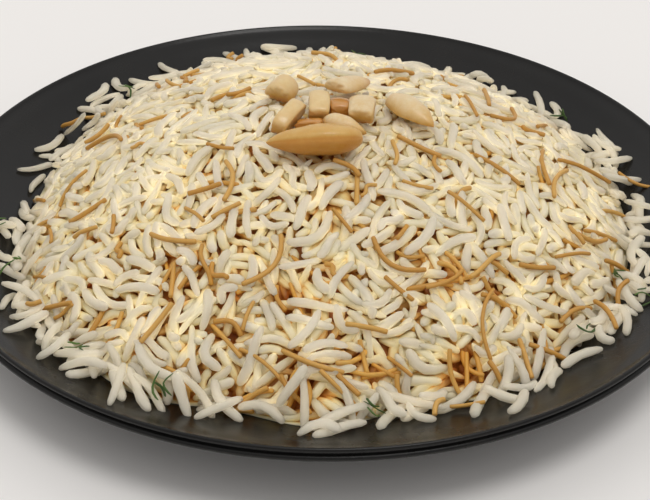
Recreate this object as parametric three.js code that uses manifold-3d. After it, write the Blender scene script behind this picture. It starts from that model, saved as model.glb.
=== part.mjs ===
// A small dark plate that holds a mound of rice with toasted vermicelli, topped with blanched almonds.
// Millimetres, +Z up. The origin is on the table under the plate's centre, and -Y is the side that is looked at.

import * as THREE from "three";
import Module from "manifold-3d";
import { mergeVertices } from "three/addons/utils/BufferGeometryUtils.js";

const wasm = await Module();
wasm.setup();

// Plate
const RIM_RADIUS = 102.5;
const PLATE_HEIGHT = 20;
const FOOT_RADIUS = 58;
const FOOT_WIDTH = 4;
const FOOT_HEIGHT = 1.8;
const WELL_RADIUS = 52;
const WELL_HEIGHT = 5;
const WALL_RISE_POWER = 1.6;
const LIP_INNER_RADIUS = 101;
const LIP_SHOULDER_HEIGHT = 19.3;
const RIM_BAND = 3.6;
const RIM_GROOVE = 1.1;
const PLATE_SIDES = 48;

// Mound of rice
const MOUND_RADIUS = 84;
const MOUND_TOP = 44.5;
const MOUND_FLATNESS = 2.15;
const MOUND_SHOULDER = 0.93;
const MOUND_SIDES = 96;
const REST_GAP = 0.5;
const UNDERSIDE_GAP = 0.65;

// Rice and vermicelli
const GRAIN_LENGTH = 9.6;
const GRAIN_RADIUS = 1.25;
const RIDGE_POINTS = 3;
const RIDGE_RISE = 0.8;
const RIDGE_UNEVENNESS = 0.8;
const RIDGE_SPACING = 3.6;
const GROOVE_DEPTH = 1.2;
const GROOVE_SPACING = 1.7;
const RIDGE_TRIES = 30000;
const GROOVE_TRIES = 60000;
const MOST_GROOVE_POINTS = 1400;
const SEAT_RISE = 1.6;
const EDGE_GRAINS = 34;
const VERMICELLI_STRANDS = 20;
const VERMICELLI_RADIUS = 0.8;

const FULL_TURN = 2 * Math.PI;
const radians = THREE.MathUtils.degToRad;

// A repeatable random number from 0 to 1, so that the mound is the same on every run.
function seededRandom(seed) {
  let state = seed;
  return () => {
    state = (state + 0x6d2b79f5) | 0;
    let mixed = Math.imul(state ^ (state >>> 15), 1 | state);
    mixed = (mixed + Math.imul(mixed ^ (mixed >>> 7), 61 | mixed)) ^ mixed;
    return ((mixed ^ (mixed >>> 14)) >>> 0) / 4294967296;
  };
}

// A closed geometry from points and faces.
function geometryOf(points, faces) {
  const geometry = new THREE.BufferGeometry();
  geometry.setAttribute("position", new THREE.Float32BufferAttribute(points.flatMap((p) => [p.x, p.y, p.z]), 3));
  geometry.setIndex(faces.flat());
  return geometry;
}

function solidOf(geometry) {
  const bare = geometry.clone();
  bare.deleteAttribute("normal");
  bare.deleteAttribute("uv");
  const merged = mergeVertices(bare, 1e-4);
  return new wasm.Manifold(
    new wasm.Mesh({
      numProp: 3,
      vertProperties: new Float32Array(merged.attributes.position.array),
      triVerts: new Uint32Array(merged.index.array),
    }),
  );
}

function geometryOfSolid(solid) {
  const mesh = solid.getMesh();
  const geometry = new THREE.BufferGeometry();
  geometry.setAttribute("position", new THREE.BufferAttribute(mesh.vertProperties, 3));
  geometry.setIndex(new THREE.BufferAttribute(mesh.triVerts, 1));
  geometry.computeVertexNormals();
  return geometry;
}

function largestPiece(solid) {
  return solid.decompose().sort((a, b) => b.volume() - a.volume())[0];
}

// The plate's inner surface: a flat well, then a wall that rises more and more steeply to the lip.
function plateSurface(radius) {
  const share = THREE.MathUtils.clamp((radius - WELL_RADIUS) / (LIP_INNER_RADIUS - WELL_RADIUS), 0, 1);
  return WELL_HEIGHT + (LIP_SHOULDER_HEIGHT - WELL_HEIGHT) * share ** WALL_RISE_POWER;
}

// The plate is one turned piece: a foot ring, a curved underside, an edge of two beads with a groove between, and the
// well.
function plateGeometry() {
  const bandFoot = PLATE_HEIGHT - RIM_BAND;
  const footOuter = FOOT_RADIUS + FOOT_WIDTH / 2;
  const footInner = FOOT_RADIUS - FOOT_WIDTH / 2;
  const outline = [
    [0, FOOT_HEIGHT],
    [footInner, FOOT_HEIGHT],
    [footInner + 0.5, 0],
    [footOuter, 0],
    [footOuter + 0.8, FOOT_HEIGHT],
    [78, 6.2],
    [92, 12.2],
    [RIM_RADIUS - 1.4, bandFoot - 0.6],
    [RIM_RADIUS, bandFoot + 0.3],
    [RIM_RADIUS, bandFoot + 1.1],
    [RIM_RADIUS - RIM_GROOVE, bandFoot + 1.8],
    [RIM_RADIUS - 0.1, bandFoot + 2.4],
    [RIM_RADIUS - 0.1, PLATE_HEIGHT - 0.5],
    [RIM_RADIUS - 0.7, PLATE_HEIGHT],
    [LIP_INNER_RADIUS, LIP_SHOULDER_HEIGHT],
  ];
  const wallSteps = 4;
  for (let step = 1; step < wallSteps; step++) {
    const radius = LIP_INNER_RADIUS - ((LIP_INNER_RADIUS - WELL_RADIUS) * step) / wallSteps;
    outline.push([radius, plateSurface(radius)]);
  }
  outline.push([WELL_RADIUS, WELL_HEIGHT], [0, WELL_HEIGHT]);
  const profile = outline.map(([radius, height]) => new THREE.Vector2(radius, height));
  return new THREE.LatheGeometry(profile, PLATE_SIDES).rotateX(Math.PI / 2);
}

// The mound's foot is uneven: drawn in at the left, widest at the front left, and notched along the front.
function moundFoot(angle) {
  const facing = Math.max(-Math.sin(angle), 0) ** 4;
  return (
    MOUND_RADIUS +
    2.3 * Math.sin(2 * angle - 1.1) +
    1.2 * Math.cos(3 * angle) -
    0.6 * Math.cos(4 * angle) +
    3 * facing * Math.cos(12 * angle)
  );
}

// A point of the mound at a share of the way out to its foot. The height falls slowly, then faster and faster.
function moundPoint(share, angle) {
  const foot = moundFoot(angle);
  const footHeight = plateSurface(foot) + UNDERSIDE_GAP;
  const height = footHeight + (MOUND_TOP - footHeight) * (1 - share ** MOUND_FLATNESS) ** MOUND_SHOULDER;
  return new THREE.Vector3(share * foot * Math.cos(angle), share * foot * Math.sin(angle), height);
}

function moundNormal(share, angle) {
  const inner = Math.max(share - 0.01, 0.001);
  const outer = Math.min(share + 0.01, 0.999);
  const outward = moundPoint(outer, angle).sub(moundPoint(inner, angle));
  const around = moundPoint(Math.max(share, 0.02), angle + 0.01).sub(moundPoint(Math.max(share, 0.02), angle - 0.01));
  return outward.cross(around).normalize();
}

// The mound's skin is laid out flat as a disc of equal area. This table gives the disc's radius at each share.
const SKIN_STEPS = 400;
const skinRadius = [0];
let skinArea = 0;
for (let step = 1; step <= SKIN_STEPS; step++) {
  const inner = moundPoint((step - 1) / SKIN_STEPS, 0);
  const outer = moundPoint(step / SKIN_STEPS, 0);
  skinArea += Math.PI * (inner.x + outer.x) * inner.distanceTo(outer);
  skinRadius.push(Math.sqrt(skinArea / Math.PI));
}
const SKIN_RADIUS = skinRadius[SKIN_STEPS];

function shareOfSkin(radius) {
  const above = skinRadius.findIndex((value) => value >= radius);
  if (above < 0) return 1;
  if (above === 0) return 0;
  const part = (radius - skinRadius[above - 1]) / (skinRadius[above] - skinRadius[above - 1]);
  return (above - 1 + part) / SKIN_STEPS;
}

// A place on the flat disc, taken back to the mound and lifted along its normal.
function onMound(x, y, lift) {
  const share = shareOfSkin(Math.hypot(x, y));
  const angle = Math.atan2(y, x);
  return moundPoint(share, angle).addScaledVector(moundNormal(share, angle), lift);
}

// Delaunay triangles of flat points, by adding one point at a time. The rim's points stand first in the list and are
// added last, because points that share a circle need others inside it.
function triangulate(points) {
  const far = 1e5;
  const all = [...points, { x: -far, y: -far }, { x: far, y: -far }, { x: 0, y: far }];
  const circleOf = (a, b, c) => {
    const [p, q, r] = [all[a], all[b], all[c]];
    const d = 2 * (p.x * (q.y - r.y) + q.x * (r.y - p.y) + r.x * (p.y - q.y));
    const [p2, q2, r2] = [p, q, r].map((v) => v.x * v.x + v.y * v.y);
    const x = (p2 * (q.y - r.y) + q2 * (r.y - p.y) + r2 * (p.y - q.y)) / d;
    const y = (p2 * (r.x - q.x) + q2 * (p.x - r.x) + r2 * (q.x - p.x)) / d;
    return { corners: [a, b, c], x, y, reach: (p.x - x) ** 2 + (p.y - y) ** 2 };
  };
  const count = points.length;
  let triangles = [circleOf(count, count + 1, count + 2)];
  for (let index = count - 1; index >= 0; index--) {
    const point = points[index];
    const edges = new Map();
    triangles = triangles.filter((triangle) => {
      if ((point.x - triangle.x) ** 2 + (point.y - triangle.y) ** 2 >= triangle.reach) return true;
      triangle.corners.forEach((from, corner) => {
        const to = triangle.corners[(corner + 1) % 3];
        if (!edges.delete(`${to},${from}`)) edges.set(`${from},${to}`, [from, to]);
      });
      return false;
    });
    for (const [from, to] of edges.values()) triangles.push(circleOf(from, to, index));
  }
  return triangles.map((triangle) => triangle.corners).filter((corners) => corners.every((corner) => corner < count));
}

// A grid of square cells that says whether a flat place is clear of the points already set.
function makeSpacing(cell) {
  const cells = new Map();
  const key = (x, y) => `${Math.floor(x / cell)},${Math.floor(y / cell)}`;
  return {
    add(x, y) {
      const name = key(x, y);
      if (!cells.has(name)) cells.set(name, []);
      cells.get(name).push([x, y]);
    },
    isClear(x, y, distance) {
      for (const dx of [-cell, 0, cell]) {
        for (const dy of [-cell, 0, cell]) {
          const near = cells.get(key(x + dx, y + dy)) ?? [];
          if (near.some(([px, py]) => Math.hypot(px - x, py - y) < distance)) return false;
        }
      }
      return true;
    },
  };
}

// Almonds. Each is described by its size, its place over the mound and how it is turned, in degrees.
// from and to cut it across at shares of its length.
// left and right split it lengthwise at shares of its half width.
const WHOLE = 1;
const HALF = 0.12;
const ALMONDS = {
  almond_whole: { length: 24, width: 12, depth: 4, back: WHOLE, at: [-2.6, -18.7, 47.1], turn: [34, 2, 184] },
  almond_half_right: { length: 17, width: 9.6, depth: 3.6, back: HALF, at: [22.2, -0.4, 45], turn: [-10, 3, -50] },
  almond_half_behind: { length: 12, width: 6, depth: 3.4, back: HALF, at: [4.9, -10.3, 46], turn: [24, 4, -22] },
  almond_slab_back: { length: 19, width: 9, depth: 3, back: HALF, from: 0.2, at: [6.9, 9.6, 47.3], turn: [-6, 12, 50] },
  almond_block_middle: {
    length: 20, width: 12, depth: 3.6, back: HALF, from: 0.3, to: 0.8, left: 0.44, right: 0.44,
    at: [-1.7, -1.9, 47], turn: [2, -12, 90],
  },
  almond_block_right: {
    length: 20, width: 10.5, depth: 3.7, back: HALF, from: 0.28, to: 0.74, left: 0.64, right: 0.6,
    at: [9.2, -3, 46.6], turn: [0, -6, 84],
  },
  almond_toasted_piece: {
    length: 20, width: 11, depth: 3.1, back: 0.4, from: 0.28, to: 0.7, left: 0.48, right: 0.48,
    at: [3.6, -0.8, 45.6], turn: [0, 10, 92],
  },
  almond_sliver_left: {
    length: 18, width: 11, depth: 4.2, back: HALF, from: 0.1, to: 0.78, left: 0.45, right: 0.3,
    at: [-9.8, -6.6, 45.9], turn: [14, -10, 62],
  },
  almond_chip_left: {
    length: 20, width: 8, depth: 3.4, back: 0.4, from: 0.3, to: 0.68, at: [-11.4, 9.2, 46], turn: [12, -8, 70],
  },
  almond_crumb: {
    length: 16, width: 8, depth: 2.8, back: HALF, from: 0.3, to: 0.74, left: 0.6, right: 0.45,
    at: [-4, -9.8, 45.2], turn: [8, 4, 166],
  },
};
const ALMOND_STATIONS = 7;
const ALMOND_SIDES = 8;

// How wide an almond is at a share of its length: round at the blunt end, widest at two fifths, drawn to a point.
function almondFullness(share) {
  if (share < 0.4) return Math.sqrt(Math.max(1 - ((0.4 - share) / 0.4) ** 2, 0));
  return Math.max(1 - ((share - 0.4) / 0.6) ** 1.8, 0) ** 0.85;
}

// One almond, lengthwise on X with its domed face up. grow swells it all round, to cut a seat for it.
function almondGeometry(shape, grow = 0) {
  const { length, width, depth, back, from = 0, to = 1, left = 1, right = 1 } = shape;
  const points = [];
  const faces = [];
  for (let station = 0; station <= ALMOND_STATIONS; station++) {
    const even = (1 - Math.cos((Math.PI * station) / ALMOND_STATIONS)) / 2;
    const share = from + (to - from) * even;
    const fullness = Math.max(almondFullness(share), 0.12);
    const pulledIn = station === 0 || station === ALMOND_STATIONS ? 0.8 : 1;
    const end = station === 0 ? -grow : station === ALMOND_STATIONS ? grow : 0;
    for (let side = 0; side < ALMOND_SIDES; side++) {
      const around = (FULL_TURN * side) / ALMOND_SIDES;
      const across = THREE.MathUtils.clamp(Math.cos(around) * fullness, -left, right);
      const up = Math.sin(around) * fullness ** 0.8 * (Math.sin(around) < 0 ? back : 1);
      points.push(
        new THREE.Vector3(
          (0.5 - share) * -length - (0.5 - (from + to) / 2) * -length + end,
          across * pulledIn * (width / 2) + grow * Math.cos(around),
          up * pulledIn * depth + grow * Math.sin(around),
        ),
      );
    }
  }
  const ring = (station, side) => station * ALMOND_SIDES + (side % ALMOND_SIDES);
  for (let station = 0; station < ALMOND_STATIONS; station++) {
    for (let side = 0; side < ALMOND_SIDES; side++) {
      faces.push([ring(station, side), ring(station, side + 1), ring(station + 1, side + 1)]);
      faces.push([ring(station, side), ring(station + 1, side + 1), ring(station + 1, side)]);
    }
  }
  for (let side = 1; side < ALMOND_SIDES - 1; side++) {
    faces.push([ring(0, 0), ring(0, side + 1), ring(0, side)]);
    faces.push([ring(ALMOND_STATIONS, 0), ring(ALMOND_STATIONS, side), ring(ALMOND_STATIONS, side + 1)]);
  }
  return geometryOf(points, faces);
}

function almondMatrix({ at, turn }) {
  const [roll, pitch, yaw] = turn.map(radians);
  const matrix = new THREE.Matrix4().makeRotationFromEuler(new THREE.Euler(roll, pitch, yaw, "ZYX"));
  return matrix.setPosition(...at);
}

// A grain or a strand: a round section carried along a path, thinner towards its ends.
function tubeSolid(path, radius, sides, endShare) {
  const curve = new THREE.CatmullRomCurve3(path);
  const steps = path.length - 1;
  const frames = curve.computeFrenetFrames(steps, false);
  const points = [];
  const faces = [];
  for (let step = 0; step <= steps; step++) {
    const share = step / steps;
    const centre = curve.getPointAt(share);
    const slimming = endShare + (1 - endShare) * Math.sqrt(Math.sin(Math.PI * share));
    for (let side = 0; side < sides; side++) {
      const around = (FULL_TURN * side) / sides;
      points.push(
        centre
          .clone()
          .addScaledVector(frames.normals[step], Math.cos(around) * radius * slimming)
          .addScaledVector(frames.binormals[step], Math.sin(around) * radius * slimming),
      );
    }
  }
  const ring = (step, side) => step * sides + (side % sides);
  for (let step = 0; step < steps; step++) {
    for (let side = 0; side < sides; side++) {
      faces.push([ring(step, side), ring(step, side + 1), ring(step + 1, side + 1)]);
      faces.push([ring(step, side), ring(step + 1, side + 1), ring(step + 1, side)]);
    }
  }
  for (let side = 1; side < sides - 1; side++) {
    faces.push([ring(0, 0), ring(0, side + 1), ring(0, side)]);
    faces.push([ring(steps, 0), ring(steps, side), ring(steps, side + 1)]);
  }
  return solidOf(geometryOf(points, faces));
}

// The mound's skin: grain after grain is laid on the flat disc clear of the others, each a ridge with grooves round
// it.
function moundSolid(isCovered) {
  const random = seededRandom(7);
  const skin = [];
  const ridges = makeSpacing(RIDGE_SPACING);
  const step = (GRAIN_LENGTH - 2 * GRAIN_RADIUS) / (RIDGE_POINTS - 1);
  for (let side = 0; side < MOUND_SIDES; side++) {
    const angle = (FULL_TURN * side) / MOUND_SIDES;
    skin.push({ x: SKIN_RADIUS * Math.cos(angle), y: SKIN_RADIUS * Math.sin(angle), lift: 0 });
  }
  for (let attempt = 0; attempt < RIDGE_TRIES; attempt++) {
    const radius = (SKIN_RADIUS - 2.5) * Math.sqrt(random());
    const angle = FULL_TURN * random();
    const heading = Math.PI * random();
    const level = RIDGE_UNEVENNESS * (2 * random() - 1);
    const tilt = 0.35 * (2 * random() - 1);
    const ridge = [];
    for (let point = 0; point < RIDGE_POINTS; point++) {
      const along = (point - (RIDGE_POINTS - 1) / 2) * step;
      const isEnd = point === 0 || point === RIDGE_POINTS - 1;
      ridge.push({
        x: radius * Math.cos(angle) + along * Math.cos(heading),
        y: radius * Math.sin(angle) + along * Math.sin(heading),
        lift: RIDGE_RISE + level + (tilt * along) / step - (isEnd ? 0.35 : 0),
      });
    }
    const fits = ridge.every(
      ({ x, y }) =>
        Math.hypot(x, y) < SKIN_RADIUS - 1.6 &&
        ridges.isClear(x, y, RIDGE_SPACING) &&
        !isCovered(onMound(x, y, 0)),
    );
    if (!fits) continue;
    ridge.forEach(({ x, y }) => ridges.add(x, y));
    skin.push(...ridge);
  }
  const grooves = makeSpacing(3);
  let grooveCount = 0;
  for (let attempt = 0; attempt < GROOVE_TRIES && grooveCount < MOST_GROOVE_POINTS; attempt++) {
    const radius = (SKIN_RADIUS - 3.2) * Math.sqrt(random());
    const angle = FULL_TURN * random();
    const [x, y] = [radius * Math.cos(angle), radius * Math.sin(angle)];
    if (!ridges.isClear(x, y, GROOVE_SPACING) || !grooves.isClear(x, y, GROOVE_SPACING)) continue;
    grooves.add(x, y);
    grooveCount++;
    const depth = GROOVE_DEPTH * (0.6 + 0.8 * random());
    const lift = isCovered(onMound(x, y, 0)) ? SEAT_RISE : -depth;
    skin.push({ x, y, lift });
  }
  const top = skin.map(({ x, y, lift }, index) =>
    index < MOUND_SIDES ? moundPoint(1, Math.atan2(y, x)) : onMound(x, y, lift),
  );
  const base = skin.slice(0, MOUND_SIDES).map(({ x, y }) => ({ x: x / SKIN_RADIUS, y: y / SKIN_RADIUS }));
  for (const [share, sides] of [[0.86, 48], [0.72, 36], [0.6, 24]]) {
    for (let side = 0; side < sides; side++) {
      const angle = (FULL_TURN * (side + 0.5)) / sides;
      base.push({ x: share * Math.cos(angle), y: share * Math.sin(angle) });
    }
  }
  base.push({ x: 0, y: 0 });
  const underside = base.slice(MOUND_SIDES).map(({ x, y }) => {
    const angle = Math.atan2(y, x);
    const radius = Math.hypot(x, y) * moundFoot(angle);
    const height = plateSurface(radius) + UNDERSIDE_GAP;
    return new THREE.Vector3(radius * Math.cos(angle), radius * Math.sin(angle), height);
  });
  const basePoint = (index) => (index < MOUND_SIDES ? index : index - MOUND_SIDES + top.length);
  const faces = triangulate(skin);
  for (const [a, b, c] of triangulate(base)) faces.push([basePoint(a), basePoint(c), basePoint(b)]);
  return solidOf(geometryOf([...top, ...underside], faces));
}

// Grains that stick out round the mound's foot and lie on the plate.
function edgeGrains() {
  const random = seededRandom(11);
  const grains = [];
  for (let count = 0; count < EDGE_GRAINS; count++) {
    const angle = (FULL_TURN * (count + 0.8 * random())) / EDGE_GRAINS;
    const heading = angle + 1.35 * (2 * random() - 1);
    const length = GRAIN_LENGTH * (0.85 + 0.4 * random());
    const startRadius = moundFoot(angle) - 3;
    const bend = 0.5 * (2 * random() - 1);
    const path = [];
    for (let point = 0; point < 4; point++) {
      const along = (length * point) / 3;
      const turned = heading + (bend * point) / 3;
      const x = startRadius * Math.cos(angle) + along * Math.cos(turned);
      const y = startRadius * Math.sin(angle) + along * Math.sin(turned);
      path.push(new THREE.Vector3(x, y, plateSurface(Math.hypot(x, y)) + GRAIN_RADIUS + 1.2 * REST_GAP));
    }
    grains.push(tubeSolid(path, GRAIN_RADIUS, 5, 0.6));
  }
  return grains;
}

// Curved pieces of toasted vermicelli, pressed half into the mound's skin.
function vermicelliStrands(isCovered) {
  const random = seededRandom(23);
  const strands = [];
  const spacing = makeSpacing(14);
  while (strands.length < VERMICELLI_STRANDS) {
    const radius = (SKIN_RADIUS - 9) * Math.sqrt(random());
    const angle = FULL_TURN * random();
    const length = 12 + 10 * random();
    const heading = FULL_TURN * random();
    const bend = 1.6 * (2 * random() - 1);
    const [x, y] = [radius * Math.cos(angle), radius * Math.sin(angle)];
    const path = [];
    for (let point = 0; point < 5; point++) {
      const along = point / 4 - 0.5;
      const turned = heading + (bend * along) / 2;
      path.push(onMound(x + length * along * Math.cos(turned), y + length * along * Math.sin(turned), 0.7));
    }
    if (!spacing.isClear(x, y, 13) || path.some(isCovered)) continue;
    spacing.add(x, y);
    strands.push(tubeSolid(path, VERMICELLI_RADIUS, 4, 0.75));
  }
  return strands;
}

// The almonds as solids. One that leans on an earlier one is pared off where the two would meet.
const almondSolids = [];
for (const [name, shape] of Object.entries(ALMONDS)) {
  let solid = solidOf(almondGeometry(shape).applyMatrix4(almondMatrix(shape)));
  for (const earlier of almondSolids) solid = solid.subtract(earlier.seat);
  almondSolids.push({
    name,
    solid,
    seat: solidOf(almondGeometry(shape, REST_GAP).applyMatrix4(almondMatrix(shape))),
    toAlmond: almondMatrix(shape).invert(),
    reachAlong: ((shape.to ?? 1) - (shape.from ?? 0)) * shape.length * 0.5,
    reachAcross: Math.max(shape.left ?? 1, shape.right ?? 1) * shape.width * 0.5,
  });
}

// Whether a point of the mound lies under an almond, where no grain stands proud.
function isUnderAlmond(point) {
  return almondSolids.some(({ toAlmond, reachAlong, reachAcross }) => {
    const local = point.clone().applyMatrix4(toAlmond);
    return Math.abs(local.x) < reachAlong && Math.abs(local.y) < reachAcross;
  });
}

function riceGeometry() {
  const proud = wasm.Manifold.union([...edgeGrains(), ...vermicelliStrands(isUnderAlmond)]);
  let rice = moundSolid(isUnderAlmond).add(proud);
  for (const { seat } of almondSolids) rice = rice.subtract(seat);
  return geometryOfSolid(largestPiece(rice));
}

const FINISHES = {
  plate: { color: 0x2b2827, roughness: 0.42 },
  rice: { color: 0xe6dcb8, roughness: 0.5 },
  almond: { color: 0xdcb87c, roughness: 0.45 },
};

function namedMesh(name, geometry, finish) {
  const mesh = new THREE.Mesh(geometry, new THREE.MeshStandardMaterial({ ...FINISHES[finish], metalness: 0 }));
  mesh.name = name;
  return mesh;
}

const plateOfRice = new THREE.Group();
plateOfRice.add(namedMesh("plate", plateGeometry(), "plate"));
plateOfRice.add(namedMesh("rice_mound", riceGeometry(), "rice"));
for (const { name, solid } of almondSolids) {
  plateOfRice.add(namedMesh(name, geometryOfSolid(largestPiece(solid)), "almond"));
}

export default plateOfRice;
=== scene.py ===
import bpy
import numpy as np
from mathutils import Matrix, Vector


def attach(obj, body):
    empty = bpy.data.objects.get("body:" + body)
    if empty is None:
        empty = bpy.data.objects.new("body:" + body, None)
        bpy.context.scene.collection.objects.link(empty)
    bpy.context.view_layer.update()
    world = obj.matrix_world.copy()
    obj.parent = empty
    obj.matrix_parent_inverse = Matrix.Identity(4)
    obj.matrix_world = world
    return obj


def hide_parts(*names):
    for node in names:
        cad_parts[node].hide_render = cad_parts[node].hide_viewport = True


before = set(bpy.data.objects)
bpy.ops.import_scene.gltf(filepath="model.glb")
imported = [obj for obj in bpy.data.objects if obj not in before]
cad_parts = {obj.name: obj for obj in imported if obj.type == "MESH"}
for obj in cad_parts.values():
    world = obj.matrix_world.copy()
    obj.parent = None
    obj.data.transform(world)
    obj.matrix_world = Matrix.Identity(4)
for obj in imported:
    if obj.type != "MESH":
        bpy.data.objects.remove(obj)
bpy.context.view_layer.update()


# The plate: one round piece of stoneware with a satin charcoal glaze, turned on a wheel. It has a foot ring, a
# curved wall and an edge of two fine beads. Lengths are in millimetres, as in all sections, and only the finished
# mesh is in metres.

WELL_RADIUS = 52.0
WELL_HEIGHT = 5.0
LIP_INNER_RADIUS = 101.0
LIP_SHOULDER_HEIGHT = 19.3
WALL_POWER = 1.6
PROFILE_SPACING = 4.0
PLATE_SIDES = 180
MM = 0.001


def plate_surface(radius):
    """Height of the plate's inner surface: level in the well, then rising with a power of the way to the lip."""
    share = np.clip((radius - WELL_RADIUS) / (LIP_INNER_RADIUS - WELL_RADIUS), 0, 1)
    return WELL_HEIGHT + (LIP_SHOULDER_HEIGHT - WELL_HEIGHT) * share**WALL_POWER


def smooth_profile(corners, spacing):
    """A profile through the corners, each corner rounded by two rounds of cutting it at a quarter of its sides."""
    points = np.array(corners, float)
    for _ in range(2):
        ahead = points[:-1] * 0.75 + points[1:] * 0.25
        behind = points[:-1] * 0.25 + points[1:] * 0.75
        cut = np.empty((2 * len(ahead), 2))
        cut[0::2], cut[1::2] = ahead, behind
        points = np.vstack([points[:1], cut, points[-1:]])
    steps = np.hypot(*np.diff(points, axis=0).T)
    count = np.maximum(1, np.round(steps / spacing).astype(int))
    sides = zip(points[:-1], points[1:], count)
    filled = [a + (b - a) * np.linspace(0, 1, n, endpoint=False)[:, None] for a, b, n in sides]
    return np.vstack(filled + [points[-1:]])


def sleeve_faces(rows, sides):
    """Quads between rings of points that follow one another, and a fan to one more point at each end."""
    row, side = np.meshgrid(np.arange(rows - 1), np.arange(sides), indexing="ij")
    following = (side + 1) % sides
    a, b = row * sides + side, row * sides + following
    quads = np.stack([a, b, b + sides, a + sides], axis=-1).reshape(-1, 4)
    side, following = side[0], following[0]
    last = (rows - 1) * sides
    near_fan = np.stack([following, side, np.full(sides, rows * sides)], axis=-1)
    far_fan = np.stack([last + side, last + following, np.full(sides, rows * sides + 1)], axis=-1)
    return quads, near_fan, far_fan


def as_lists(*arrays):
    """The faces of several arrays in one list."""
    return [face for array in arrays for face in array.tolist()]


def round_axis(radius, angle, *height):
    """Places round the axis: x = r cos a, y = r sin a, and z where a height is given."""
    return np.stack([radius * np.cos(angle), radius * np.sin(angle), *height], axis=-1)


def lathe(profile, sides):
    """Each profile point turned round the axis. The two ends lie on it, as one point each."""
    angle = np.linspace(0, 2 * np.pi, sides, endpoint=False)
    radius, height = profile[1:-1, :1], profile[1:-1, 1:]
    ring = round_axis(radius, angle, np.repeat(height, sides, axis=1)).reshape(-1, 3)
    points = np.vstack([ring, [[0, 0, profile[0, 1]], [0, 0, profile[-1, 1]]]])
    return points, as_lists(*sleeve_faces(len(radius), sides))


def new_piece(name, points, faces, material, replaced=()):
    """A smooth mesh in metres that rides on the part's one body."""
    mesh = bpy.data.meshes.new(name)
    mesh.from_pydata((np.asarray(points) * MM).tolist(), [], faces)
    mesh.polygons.foreach_set("use_smooth", np.ones(len(mesh.polygons), bool))
    mesh.materials.append(material)
    mesh.update()
    piece = bpy.data.objects.new(name, mesh)
    bpy.context.scene.collection.objects.link(piece)
    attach(piece, "root")
    if replaced:
        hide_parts(*replaced)
    return piece


def new_material(name, **constants):
    """A Principled material with these plain values. Returns the material, its nodes, its links and the shader."""
    material = bpy.data.materials.new(name)
    material.use_nodes = True
    nodes, links = material.node_tree.nodes, material.node_tree.links
    shader = nodes["Principled BSDF"]
    for socket, value in constants.items():
        shader.inputs[socket.replace("_", " ")].default_value = value
    return material, nodes, links, shader


def place(nodes, kind, **values):
    """A shader node with its properties, and its sockets' plain values where a name isn't a property."""
    node = nodes.new(kind)
    for name, value in values.items():
        if hasattr(node, name):
            setattr(node, name, value)
        else:
            node.inputs[name.replace("_", " ")].default_value = value
    return node


def colour_steps(nodes, steps):
    """A colour ramp through these positions and colours."""
    ramp = nodes.new("ShaderNodeValToRGB")
    elements = ramp.color_ramp.elements
    while len(elements) < len(steps):
        elements.new(0.5)
    for element, (position, colour) in zip(elements, steps):
        element.position, element.color = position, (*colour, 1)
    return ramp


def connect(links, *joins):
    """Links outputs to inputs, each given as a node, its output, another node and its input."""
    for source, output, target, entry in joins:
        links.new(source.outputs[output], target.inputs[entry])


glaze, nodes, links, shader = new_material(
    "charcoal_glaze", Base_Color=(0.0075, 0.0070, 0.0067, 1), Specular_IOR_Level=0.26
)
place_of = place(nodes, "ShaderNodeTexCoord")
cloud = place(nodes, "ShaderNodeTexNoise", Scale=38.0, Detail=5.0, Roughness=0.6)
shade = colour_steps(nodes, [(0.35, (0.0060, 0.0056, 0.0054)), (0.7, (0.0090, 0.0084, 0.0078))])
dullness = place(nodes, "ShaderNodeMapRange", From_Min=0.3, From_Max=0.75, To_Min=0.22, To_Max=0.30)
speckle = place(nodes, "ShaderNodeTexNoise", Scale=900.0, Detail=3.0)
orange_peel = place(nodes, "ShaderNodeBump", Strength=0.06, Distance=0.0004)
connect(
    links,
    (place_of, "Object", cloud, "Vector"),
    (place_of, "Object", speckle, "Vector"),
    (cloud, "Fac", shade, "Fac"),
    (shade, "Color", shader, "Base Color"),
    (cloud, "Fac", dullness, "Value"),
    (dullness, "Result", shader, "Roughness"),
    (speckle, "Fac", orange_peel, "Height"),
    (orange_peel, "Normal", shader, "Normal"),
)

# The plate's profile as radius and height: the underside, the foot ring, the wall, the two beads, then the inside.
plate_corners = [
    (0, 1.8), (30, 1.8), (55.6, 1.8), (56.3, 0.25), (57.2, 0), (59.2, 0), (60.2, 0.3), (61.4, 1.8),
    (78, 6.2), (92, 12.2), (100.4, 15.8), (102.0, 16.3), (102.5, 16.9), (102.4, 17.6), (101.35, 18.05),
    (101.3, 18.35), (102.1, 18.75), (102.4, 19.3), (102.1, 19.95), (101.4, 19.9), (100.6, 19.15), (97.5, 17.9),
]
plate_corners += [(r, plate_surface(r)) for r in (94, 88, 81, 74, 66, 58, 52, 46, 20, 0.0)]
points, faces = lathe(smooth_profile(plate_corners, PROFILE_SPACING), PLATE_SIDES)
new_piece("charcoal_plate", points, faces, glaze, ["plate"])


# The heap of rice: loose long grains piled into a round mound, steeper towards its foot. Its skin is laid out flat
# as a disc of equal area, on which the grains are dropped one after another, and then bent back over the mound.

MOUND_RADIUS = 84.0
MOUND_TOP = 44.5
MOUND_FLATNESS = 2.15
MOUND_SHOULDER = 0.93
UNDERSIDE_GAP = 0.65
SKIN_STEPS = 401


def mound_foot(angle):
    """Radius of the mound's foot: slow waves that draw it in at the left, and short ones along the front alone."""
    facing = np.maximum(-np.sin(angle), 0) ** 4
    slow = 2.3 * np.sin(2 * angle - 1.1) + 1.2 * np.cos(3 * angle) - 0.6 * np.cos(4 * angle)
    return MOUND_RADIUS + slow + 3 * facing * np.cos(12 * angle)


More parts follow.
